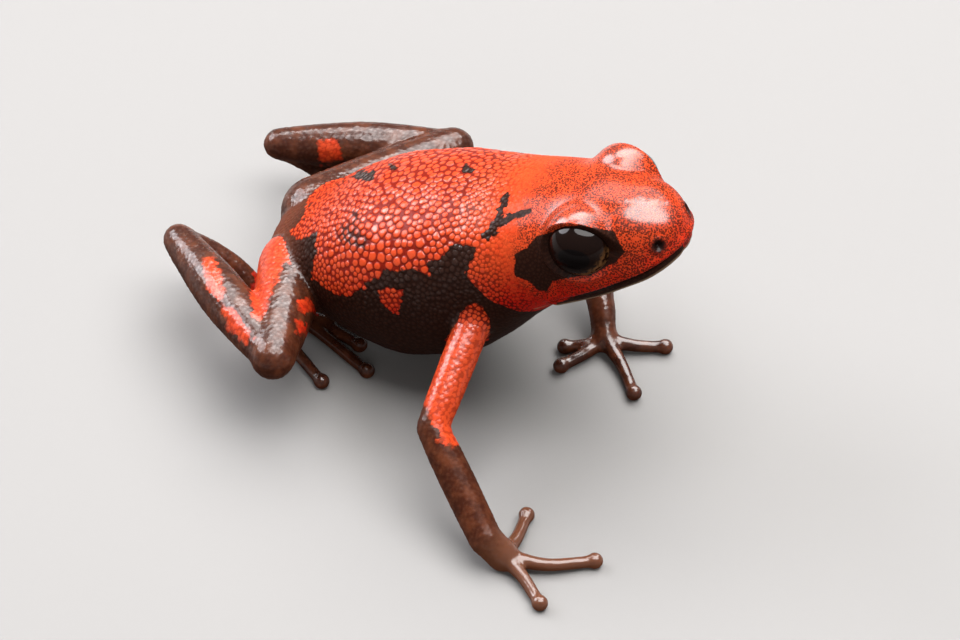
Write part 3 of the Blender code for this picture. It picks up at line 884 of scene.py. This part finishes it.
def marks_at(points, facing, limb, limb_names):
    """How far inside a dark mark each point lies. The far side's back is nearly all red."""
    along, across, up = body_axes(points)
    seen, seen_mirrored = seen_at(points), seen_at(mirrored(points))
    line = np.interp(along, belly_along, belly_up)
    dark = line - THROAT_SLOPE * np.clip(along - belly_along[-1], 0, None) - up
    for outline in (MASK, BAR, PATCH, RUMP):
        dark = np.maximum(dark, mm_inside(seen_mirrored, outline))
    dark = np.minimum(dark, -mm_inside(seen_mirrored, FLANK_SPOT))
    head = mouth_height(along) - up - CORNER_DROP * (1 - eased(along, *JAW_CORNER))
    for outline in (MASK, BAR):
        head = np.maximum(head, mm_inside(seen_mirrored, outline))
    head_part = eased(along, *HEAD_MARKS)
    dark = dark * (1 - head_part) + head_part * head
    dark = np.where(across > 0, dark - FAR_SIDE_RED * eased(facing, 0.0, 0.3), dark)
    from_shoulder = np.linalg.norm(points - np.array(ARMS["right"]["shoulder"]), axis=1)
    by_arm = np.minimum(dark, -mm_inside(seen, RED_ARM))
    dark = np.where(from_shoulder < SHOULDER_REACH, by_arm, dark)
    for outline in (*FAR_SPOTS, RUMP):
        spot = np.maximum(dark, mm_inside(seen, outline))
        dark = np.where((across > 0) & (facing > 0.1), spot, dark)
    return dark * (1 - limb) + limb * limb_marks(points, seen, limb_names)


def limb_marks(points, seen, limb_names):
    """The same for the limbs, which are dark with a few red patches."""
    dark = np.full(len(points), LIMB_DARK)
    for limb, outlines in RED_ON_LIMBS.items():
        for outline in outlines:
            dark = np.where(limb_names == limb, np.minimum(dark, -mm_inside(seen, outline)), dark)
    from_shoulder = np.linalg.norm(points - np.array(ARMS["left"]["shoulder"]), axis=1)
    return np.where(limb_names == "left_arm", from_shoulder - LEFT_ARM_RED, dark)


# %% [markdown]
# ## Granules
# The skin of the back is a pavement of rounded granules. They are real bumps here: seeds are
# scattered over the skin, never closer than a granule's width, and each point rises by how far it
# is from the border between its two nearest seeds. They are largest on the back, smaller on the
# flanks and limbs, and fade out on the head. A whole granule is either dark or red, which gives the
# markings their crumbly edges.

# %% How wide the granules are, and how high for their width
WIDTH, WIDER_ON_BACK, NARROWER_AT_NECK = 0.18, 0.14, 0.05
LIMB_WIDTH, DIGIT_WIDTH = 0.16, 0.14
HEIGHT, HIGHER_ON_BACK, FAR_SIDE_LOWER = 0.05, 0.085, 0.5
LIMB_HEIGHT, DIGIT_HEIGHT = 0.08, 0.02
CANDIDATES, SIZE_SPREAD, HEIGHT_SPREAD = 200000, 0.30, 0.5


def granule_sizes(points, limb, on_digit):
    along, across, up = body_axes(points)
    largest = bell(along, 7.0, 4.2) * eased(up, -0.2, 1.6)
    width = WIDTH + WIDER_ON_BACK * largest - NARROWER_AT_NECK * eased(along, 9.5, 12.5)
    width = width * (1 - limb) + limb * np.where(on_digit, DIGIT_WIDTH, LIMB_WIDTH)
    height = HEIGHT + HIGHER_ON_BACK * eased(up, -2.4, 0.4) * eased(along, -0.5, 1.5)
    height *= 1 - FAR_SIDE_LOWER * eased(across, -0.6, 0.8)
    height = height * (1 - limb) + limb * np.where(on_digit, DIGIT_HEIGHT, LIMB_HEIGHT)
    height *= 1 - eased(along, 11.5, 13.4) * (points[:, 2] > FACE_BOTTOM)
    return width, height


# %% Seeds, one for each granule
def scattered(points, widths, random):
    """Seeds on the skin, in random order, none closer to another than both their widths allow."""
    cell = float(widths.max())
    cells = np.floor(points / cell).astype(int)
    taken, chosen = {}, []
    around = [(a, b, c) for a in (-1, 0, 1) for b in (-1, 0, 1) for c in (-1, 0, 1)]
    for i in random.permutation(len(points))[:CANDIDATES]:
        x, y, z = cells[i]
        place, width = points[i], widths[i]
        near = [j for a, b, c in around for j in taken.get((x + a, y + b, z + c), ())]
        if near:
            gaps = ((points[near] - place) ** 2).sum(axis=1)
            if (gaps < (0.5 * (widths[near] + width)) ** 2).any():
                continue
        taken.setdefault((x, y, z), []).append(i)
        chosen.append(i)
    return np.array(chosen)


random = np.random.default_rng(5)
widths, heights = granule_sizes(points, limb, on_digit)
own_widths = widths * random.uniform(1 - SIZE_SPREAD, 1 + SIZE_SPREAD, len(points))
seeds = scattered(points, own_widths, random)
print("granules:", len(seeds))

# %% Each point's granule, and its height in it
DOME, GROOVE = 0.62, 0.28
tree = KDTree(len(seeds))
for i, seed in enumerate(seeds):
    tree.insert(points[seed], i)
tree.balance()
two_nearest = [tree.find_n(point, 2) for point in points]
granule = np.array([found[0][1] for found in two_nearest])
from_seed = np.array([found[0][2] for found in two_nearest])
border = np.array([found[1][2] - found[0][2] for found in two_nearest])
seed_width = own_widths[seeds][granule]
dome = np.sqrt(np.clip(1 - (from_seed / (DOME * seed_width)) ** 2, 0, 1))
rise = dome * eased(border, 0.0, GROOVE * seed_width)
print("highest granule:", round(float((heights * seed_width).max()), 3), "mm")

# %% Which granules are dark, and where the head's smooth skin begins
CRUMBLE, HEAD_EDGE, HEAD_RAGGED, ARM_ROOT = 0.06, (12.1, 13.7), 0.55, 3.2
shade = random.uniform(-1, 1, len(seeds))[granule]
crumble = random.normal(0, CRUMBLE, len(seeds))
normals = normals_of(skin)
facing = normals @ np.array(BACK)
smooth_dark = marks_at(points, facing, limb, limb_names)
granule_dark = 0.5 * (smooth_dark[seeds] + 2 * crumble)[granule] + 0.5 * smooth_dark
headness = eased(along + HEAD_RAGGED * shade, *HEAD_EDGE) * (points[:, 2] > FACE_BOTTOM) * (1 - limb)
evenly = np.maximum(headness, nearness(points, ARMS["right"]["shoulder"], ARM_ROOT))
dark = granule_dark * (1 - evenly) + smooth_dark * evenly
print("dark share of the skin:", round(float((dark > 0).mean()), 2))

# %% The granules raised
own_height = random.uniform(1 - HEIGHT_SPREAD, 1 + HEIGHT_SPREAD, len(seeds))[granule]
points = points + normals * (heights * seed_width * (own_height * rise - 0.5))[:, None]
points[:, 2] = np.maximum(points[:, 2], 0.0)
move_to(skin, points)

# %% [markdown]
# ## Notes for the materials
# A material knows only the place where it is asked for a colour. What it should know besides, such
# as how far inside a dark mark that place is, can be kept on the mesh as an attribute: one number a
# point, which the material reads by name. The gloss is such a note. Each granule is a little more or
# less wet, the head shines on the brows and the end of the snout, and the neck, the mask and the
# right forearm are nearly dry.

# %% How wet the skin is
DRY_NECK, DRY_MASK, DRY_CROWN, DRY_FOREARM = 0.85, 0.7, 0.8, 0.95
DIGIT_GLOSS, LIMB_GLOSS = 0.9, 0.35
wetness = random.uniform(0.25, 1.0, len(seeds))[granule]
elbow, wrist = (Vector(ARMS["right"][joint]) for joint in ("elbow", "wrist"))
right_arm = limb_names == "right_arm"
palm = nearness(points, ARMS["right"]["palm"], 1.7)
hand = np.maximum(on_digit, palm) * right_arm * limb
forearm = nearness(points, elbow.lerp(wrist, 0.55), 4.4) * right_arm * (1 - hand)
neck = eased(along, 10.8, 12.2) * (1 - eased(along, 14.0, 15.2)) * (points[:, 2] > FACE_BOTTOM)
mask = (smooth_dark > 0) * headness
middle = 1 - eased(np.abs(across), 0.8, 1.5) * (1 - eased(along, 16.2, 16.8))
off_glint = 1 - eased(inside_by(seen_at(points), SNOUT_WET) + 6 * (wetness - 0.6), -3, 2)
crown = eased(along, 13.5, 14.3) * middle * off_glint
own_gloss = wetness * (0.2 + 0.8 * rise)
limb_gloss = np.where(on_digit > 0, DIGIT_GLOSS, LIMB_GLOSS + (1 - LIMB_GLOSS) * own_gloss)
smooth_part = np.maximum(limb, headness)
gloss = own_gloss * np.maximum(limb, eased(along, 1.0, 4.5)) * (1 - smooth_part) + smooth_part
gloss = gloss * (1 - limb) + limb * limb_gloss
for part, dry in ((neck, DRY_NECK), (mask, DRY_MASK), (crown, DRY_CROWN), (forearm, DRY_FOREARM)):
    gloss = gloss * (1 - dry * part)
print("mean gloss:", round(float(gloss.mean()), 2))

# %% The notes on the mesh
LEG_BRIGHT, ROOT_REACH = 0.15, 1.9


def note(obj, name, values):
    attribute = obj.data.attributes.new(name, "FLOAT", "POINT")
    attribute.data.foreach_set("value", np.asarray(values, np.float32))


mottled = np.max([inside_by(seen_at(points), outline) for outline in MOTTLES], axis=0)
limb_bright = limb * np.where(np.char.endswith(limb_names, "leg"), LEG_BRIGHT, 1.0)
notes = {
    "gloss": gloss,
    "dark": np.clip(dark, -0.5, 0.5),
    "granule": rise,
    "shade": shade,
    "head": headness,
    "limb": limb,
    "sky": normals_of(skin)[:, 2],
    "up": up,
    "along": along,
    "mouth": np.clip(from_mouth, 0, 1),
    "jaw": np.clip(mouth_height(along) - up, -1, 1),
    "nostril": np.clip(from_nostril, 0, 1),
    "hand": hand,
    "mottle": eased(mottled, -6, 2) * (across < 0) * (facing > 0) * (1 - limb),
    "bright": np.maximum(limb_bright, nearness(points, ARMS["right"]["shoulder"], ROOT_REACH)),
}
for name, values in notes.items():
    note(skin, name, values)
print("notes on the skin:", ", ".join(notes))

# %% [markdown]
# ## Sums that become nodes
# A material's colour is a sum of many small influences. Written as Python sums they can be read,
# and each operation on a wire adds the Math node that does it.


# %% A wire and its sums
class Wire:
    """A value in a material. A sum on it adds the Math nodes that work it out."""

    def __init__(self, tree, socket=None):
        self.tree, self.socket = tree, socket

    def node(self, kind, settings=None, sockets=None, out=0):
        """Any node: its type, its settings and then the values or wires of its sockets."""
        node = self.tree.nodes.new(kind)
        for name, value in (settings or {}).items():
            setattr(node, name, value)
        for name, value in (sockets or {}).items():
            if isinstance(value, Wire):
                self.tree.links.new(value.socket, node.inputs[name])
            else:
                node.inputs[name].default_value = value
        return Wire(self.tree, node.outputs[out])

    def sum(self, operation, first, second):
        return self.node("ShaderNodeMath", {"operation": operation}, {0: first, 1: second})

    def __add__(self, other):
        return self.sum("ADD", self, other)

    def __radd__(self, other):
        return self.sum("ADD", other, self)

    def __sub__(self, other):
        return self.sum("SUBTRACT", self, other)

    def __rsub__(self, other):
        return self.sum("SUBTRACT", other, self)

    def __mul__(self, other):
        return self.sum("MULTIPLY", self, other)

    def __rmul__(self, other):
        return self.sum("MULTIPLY", other, self)

    def __pow__(self, other):
        return self.sum("POWER", self, other)

    def eased(self, low, high):
        """0 below low, 1 above high and smooth between."""
        sockets = {"Value": self, "From Min": low, "From Max": high}
        return self.node("ShaderNodeMapRange", {"interpolation_type": "SMOOTHSTEP"}, sockets)

    def mixed(self, first, second):
        """Two colours, mixed by this wire."""
        return self.node("ShaderNodeMix", {"data_type": "RGBA"}, {0: self, 6: first, 7: second}, 2)

    def noted(self, name):
        """A note that the mesh keeps of each point."""
        return self.node("ShaderNodeAttribute", {"attribute_name": name}, out=2)

    def noise(self, scale, detail=2.0):
        """Clouds round this place, so many to a millimetre."""
        return self.node("ShaderNodeTexNoise", None, {"Vector": self, "Scale": scale, "Detail": detail})

    def cells(self, scale):
        """How far this place is from the nearest of many scattered dots, so many to a millimetre."""
        return self.node("ShaderNodeTexVoronoi", None, {"Vector": self, "Scale": scale})


def material(name):
    """A new material, a wire to make its nodes with, and its shader."""
    made = bpy.data.materials.new(name)
    made.use_nodes = True
    return made, Wire(made.node_tree), made.node_tree.nodes["Principled BSDF"]


def feed(shader, values):
    """Wires into the shader's sockets, and plain values set on them."""
    for name, value in values.items():
        if isinstance(value, Wire):
            value.tree.links.new(value.socket, shader.inputs[name])
        else:
            shader.inputs[name].default_value = value


def in_mm(wire):
    """Each place on the object, in millimetres."""
    place = wire.node("ShaderNodeTexCoord", out=3)
    return wire.node("ShaderNodeVectorMath", {"operation": "SCALE"}, {"Vector": place, "Scale": 1000.0})


def colour(red, green, blue):
    return (red, green, blue, 1.0)


# %% [markdown]
# ## The skin's finish
# Red and orange pigment lies over a dark ground. On the back each granule is painted bright on top and
# dark in the groove round it, a painted shade in the grooves between the raised granules, and on the
# dark ground the granule tops are painted a lighter brown, a painted highlight. The head is smooth and
# stippled with black dots. The skin is wet, so a clear coat lies over the colour. It is thickest where
# the skin faces up and where the note of the gloss says so.

# %% The skin's material
finish, wire, shader = material("frog_skin")
place = in_mm(wire)
marked_by, granule_top, own_shade = (wire.noted(name) for name in ("dark", "granule", "shade"))
on_head, on_limb, from_vent = (wire.noted(name) for name in ("head", "limb", "along"))
high = wire.noted("up").eased(-2.2, 1.2)
broad, grain = place.noise(0.6), place.noise(9.0, 3.0)

# %% Red, from deep on the flanks to orange on the back
DEEP_RED, ORANGE_RED = colour(0.36, 0.0055, 0.0022), colour(0.48, 0.050, 0.0110)
RED_GROOVE_SHADE, DARK_GROOVE_SHADE = colour(0.12, 0.004, 0.002), colour(0.016, 0.003, 0.002)
bright = wire.noted("bright")
lift = (bright * (1 - high) + high) * 0.75 + broad * 0.35 + own_shade * 0.10 - 0.10
red = lift.eased(0.0, 1.0).mixed(DEEP_RED, ORANGE_RED)
# Painted shade: the grooves between the raised granules are painted darker and the granule tops brighter.
# Near the neck and in cloudy patches the painted groove shade is nearly black.
closed = granule_top.eased(0.0, 0.95) + on_head + on_limb * 0.5
closed = closed + high * from_vent.eased(9.0, 13.0) * 0.6
groove_shade = 1 - closed.eased(0.0, 1.0)
pits = from_vent.eased(8.5, 11.5) * 0.7 + place.noise(0.9).eased(0.55, 0.75) * 0.6
red = (groove_shade * 0.9).mixed(red, pits.mixed(RED_GROOVE_SHADE, DARK_GROOVE_SHADE))
mottle = wire.noted("mottle") * (1 - granule_top.eased(0.45, 0.95) * 0.6)
red = (mottle * 0.85).mixed(red, colour(0.020, 0.006, 0.005))

# %% Black dots on the head
dots = place.cells(13.5)
coverage = place.noise(0.9, 2.0).eased(0.35, 0.65) * 0.12 + high * 0.04 + 0.43
stipple = (coverage - dots).eased(-0.12, 0.12) * from_vent.eased(11.5, 13.5) * on_head
red = (stipple * 0.85).mixed(red, colour(0.035, 0.006, 0.003))

# %% The dark ground of the body, the rump, the limbs and the hand
BODY_DARK, RUMP_BROWN = colour(0.014, 0.0042, 0.0023), colour(0.12, 0.034, 0.018)
LIMB_DEEP, LIMB_BROWN = colour(0.036, 0.0090, 0.0040), colour(0.080, 0.022, 0.0090)
HAND_BROWN, GRANULE_TOP_HIGHLIGHT = colour(0.12, 0.042, 0.020), colour(0.12, 0.045, 0.025)
rump = 1 - from_vent.eased(-0.5, 3.0)
limb_ground = place.noise(1.7, 3.0).eased(0.4, 0.7).mixed(LIMB_DEEP, LIMB_BROWN)
limb_ground = (wire.noted("hand") * 0.8).mixed(limb_ground, HAND_BROWN)
ground = on_limb.mixed((rump * 0.8).mixed(BODY_DARK, RUMP_BROWN), limb_ground)
# Painted highlight: the tops of the granules on the dark ground are painted a lighter brown.
ground = ((granule_top - 0.3) * 0.25 * (on_limb * 0.5 + 0.5)).mixed(ground, GRANULE_TOP_HIGHLIGHT)

# %% The marks, soft-edged on the limbs
ragged = marked_by + (grain - 0.5) * 0.10 + (place.noise(3.0) - 0.5) * 0.12
marked = (ragged * (1 - on_limb * 0.75)).eased(-0.025, 0.025)
skin_colour = marked.mixed(red, ground)

# %% The mouth and the nostrils with painted shade in their hollows, and a painted highlight along the lower jaw's wet edge
mouth, jaw, nostril = (wire.noted(name) for name in ("mouth", "jaw", "nostril"))
# A pale line along the lower jaw: a painted highlight of its wet edge.
below = jaw.eased(0.24, 0.32) * (1 - jaw.eased(0.36, 0.44)) * on_head
skin_colour = (below * 0.8).mixed(skin_colour, colour(0.17, 0.11, 0.07))
# Painted shade: the carved groove of the mouth and the pits of the nostrils are painted near black.
skin_colour = (1 - mouth.eased(0.03, 0.10)).mixed(skin_colour, colour(0.004, 0.002, 0.0015))
skin_colour = (1 - nostril.eased(0.16, 0.50)).mixed(skin_colour, colour(0.012, 0.004, 0.003))

# %% Gloss, fine relief and the finished shader
relief = grain * 0.5 + place.noise(28.0, 2.0) * 0.4 - stipple * 0.8
bump = {"Height": relief, "Strength": 0.35, "Distance": 0.00003}
feed(shader, {
    "Base Color": skin_colour,
    "Roughness": 0.60 + (grain - 0.5) * 0.16,
    "Coat Weight": wire.noted("sky").eased(0.0, 0.8) * wire.noted("gloss"),
    "Normal": wire.node("ShaderNodeBump", None, bump),
    "Specular IOR Level": 0.03,
    "Coat IOR": 1.7,
    "Coat Roughness": 0.21,
    "Subsurface Weight": 0.08,
    "Subsurface Radius": (1.0, 0.25, 0.1),
    "Subsurface Scale": 0.0002,
})
skin.data.materials.clear()
skin.data.materials.append(finish)
skin.data.shade_smooth()
print("nodes in the skin's material:", len(wire.tree.nodes))

# %% [markdown]
# ## The eyes
# A frog's eye is almost black, with a thin bronze arc at the front of the iris. It is a ball of its
# own that stands a little out of the lids, and its gloss comes from a clear coat.


# %% Eyeballs
def eyeball(side):
    eye = ball(("right" if side < 0 else "left") + "_eyeball", eye_centre(side), EYE_RADIUS, 96)
    away = (points_of(eye) - np.array(eye_centre(side))) / EYE_RADIUS
    for axis, direction in zip(("ahead", "raised", "outward"), eye_axes(side)):
        note(eye, axis, away @ np.array(direction))
    eye.data.shade_smooth()
    return eye


eyes = [eyeball(-1), eyeball(1)]

# %% The eye's finish
PUPIL = (0.50, 0.36)
IRIS, BRONZE = colour(0.006, 0.0022, 0.0014), colour(0.10, 0.045, 0.016)
finish, wire, shader = material("eye")
raised, ahead = wire.noted("raised"), wire.noted("ahead")
from_pupil = ((ahead * (1 / PUPIL[0])) ** 2.0 + (raised * (1 / PUPIL[1])) ** 2.0) ** 0.5
arc = (ahead - raised * 0.9).eased(0.45, 0.95) * from_pupil.eased(1.2, 1.6)
bronze = arc * in_mm(wire).noise(5.0, 4.0).eased(0.40, 0.62)
iris = bronze.mixed(IRIS, BRONZE)
feed(shader, {
    "Base Color": (1 - from_pupil.eased(0.95, 1.05)).mixed(iris, colour(0.002, 0.001, 0.001)),
    "Roughness": 0.22 + bronze * 0.2,
    "Coat Weight": raised.eased(-0.1, 0.6) * 0.85,
    "Specular IOR Level": 0.02,
    "Coat IOR": 1.36,
    "Coat Roughness": 0.04,
})
for eye in eyes:
    eye.data.materials.append(finish)
print("eyes:", len(eyes))

# %% [markdown]
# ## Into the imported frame
# Everything so far is in millimetres round a place of its own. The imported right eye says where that
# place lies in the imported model's frame, and everything moves there at its real size.

# %% Real size and place, and what each piece stands for
low, high_corner = (Vector(corner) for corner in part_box("right_eye"))
shift = (low + high_corner) / 2 - eye_centre(-1) * MM
to_frame = Matrix.Translation(shift) @ Matrix.Scale(MM, 4)
flesh = [name for name in frame["nodes"] if not name.endswith("_eye")]
for obj in (skin, *eyes):
    obj.data.transform(to_frame)
    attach(obj, "root")
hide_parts(*flesh)
for obj, node in zip(eyes, ("right_eye", "left_eye")):
    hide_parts(node)
print("shift in mm:", [round(value / MM, 2) for value in shift])

# %% [markdown]
# ## Floor, lights and camera
# The floor is plain and pale. Wet skin shows its form by its glints, so three soft oval lights are
# placed where their reflections fall as in the picture: one behind the frog for the brows and legs,
# one overhead for the snout and the eye's cap, and one from the tail side for the granules of the
# back. A weak one in front fills the shadows and leaves no glint, and the world adds a little light
# from everywhere.

# %% The floor
mesh = bmesh.new()
bmesh.ops.create_grid(mesh, x_segments=1, y_segments=1, size=1.0)
floor = made("floor", mesh)
finish, wire, shader = material("floor")
feed(shader, {"Base Color": colour(0.22, 0.216, 0.212), "Roughness": 0.8})
floor.data.materials.append(finish)
floor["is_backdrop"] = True

# %% Lights
# For each light: where it stands, as seen from the frog, and how far off. Then its size across the
# picture, its size the other way, its power in watts and its tint.
LIGHTS = {
    "behind": ((-0.15, 0.62, 0.76), 0.30, (0.38, 0.18), 1.4, (1.0, 0.98, 0.97)),
    "overhead": ((0.20, 0.12, 0.97), 0.30, (0.40, 0.24), 1.9, (1.0, 0.98, 0.97)),
    "tail": ((-0.84, 0.10, 0.53), 0.32, (0.20, 0.26), 1.1, (0.96, 0.96, 1.0)),
    "front": ((0.5, -0.9, 0.6), 0.50, (0.30, 0.30), 0.6, (1.0, 0.98, 0.96)),
}


def soft_box(name, towards, distance, sizes, watts, tint):
    light = bpy.data.lights.new(name, "AREA")
    light.shape, light.size, light.size_y = "ELLIPSE", *sizes
    light.energy, light.color = watts, tint
    obj = bpy.data.objects.new(name, light)
    towards = Vector(towards).normalized()
    level_side = (RIGHT - towards * RIGHT.dot(towards)).normalized()
    turn = Matrix((level_side, towards.cross(level_side), towards)).transposed().to_4x4()
    obj.matrix_world = Matrix.Translation(shift + LOOKED_AT * MM + towards * distance) @ turn
    bpy.context.scene.collection.objects.link(obj)
    return obj


lamps = {name: soft_box(name, *light) for name, light in LIGHTS.items()}
lamps["front"].visible_glossy = False
print("lights:", ", ".join(lamps))

# %% The world
world = bpy.data.worlds.new("studio")
world.use_nodes = True
bpy.context.scene.world = world
feed(world.node_tree.nodes["Background"], {"Color": colour(1.0, 1.0, 1.0), "Strength": 0.22})

# %% Camera
lens = bpy.data.cameras.new("camera")
lens.sensor_width, lens.lens = SENSOR, FOCAL_PIXELS / PICTURE[0] * SENSOR
lens.clip_start, lens.clip_end = 0.001, 10.0
camera = bpy.data.objects.new("camera", lens)
turn = Matrix((RIGHT, UP, BACK)).transposed().to_4x4()
camera.matrix_world = Matrix.Translation(shift + EYE_POINT * MM) @ turn
bpy.context.scene.collection.objects.link(camera)
bpy.context.scene.camera = camera
bpy.context.scene.view_settings.view_transform = "Standard"
print("lens:", round(lens.lens, 1), "mm")

# %% The two boxes, packed and dressed
boxes = {
    "packed": [list(corner) for corner in packed_box],
    "dressed": [list(corner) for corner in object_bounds()],
}
print("dressed size in mm:", [round((b - a) / MM, 2) for a, b in zip(*boxes["dressed"])])
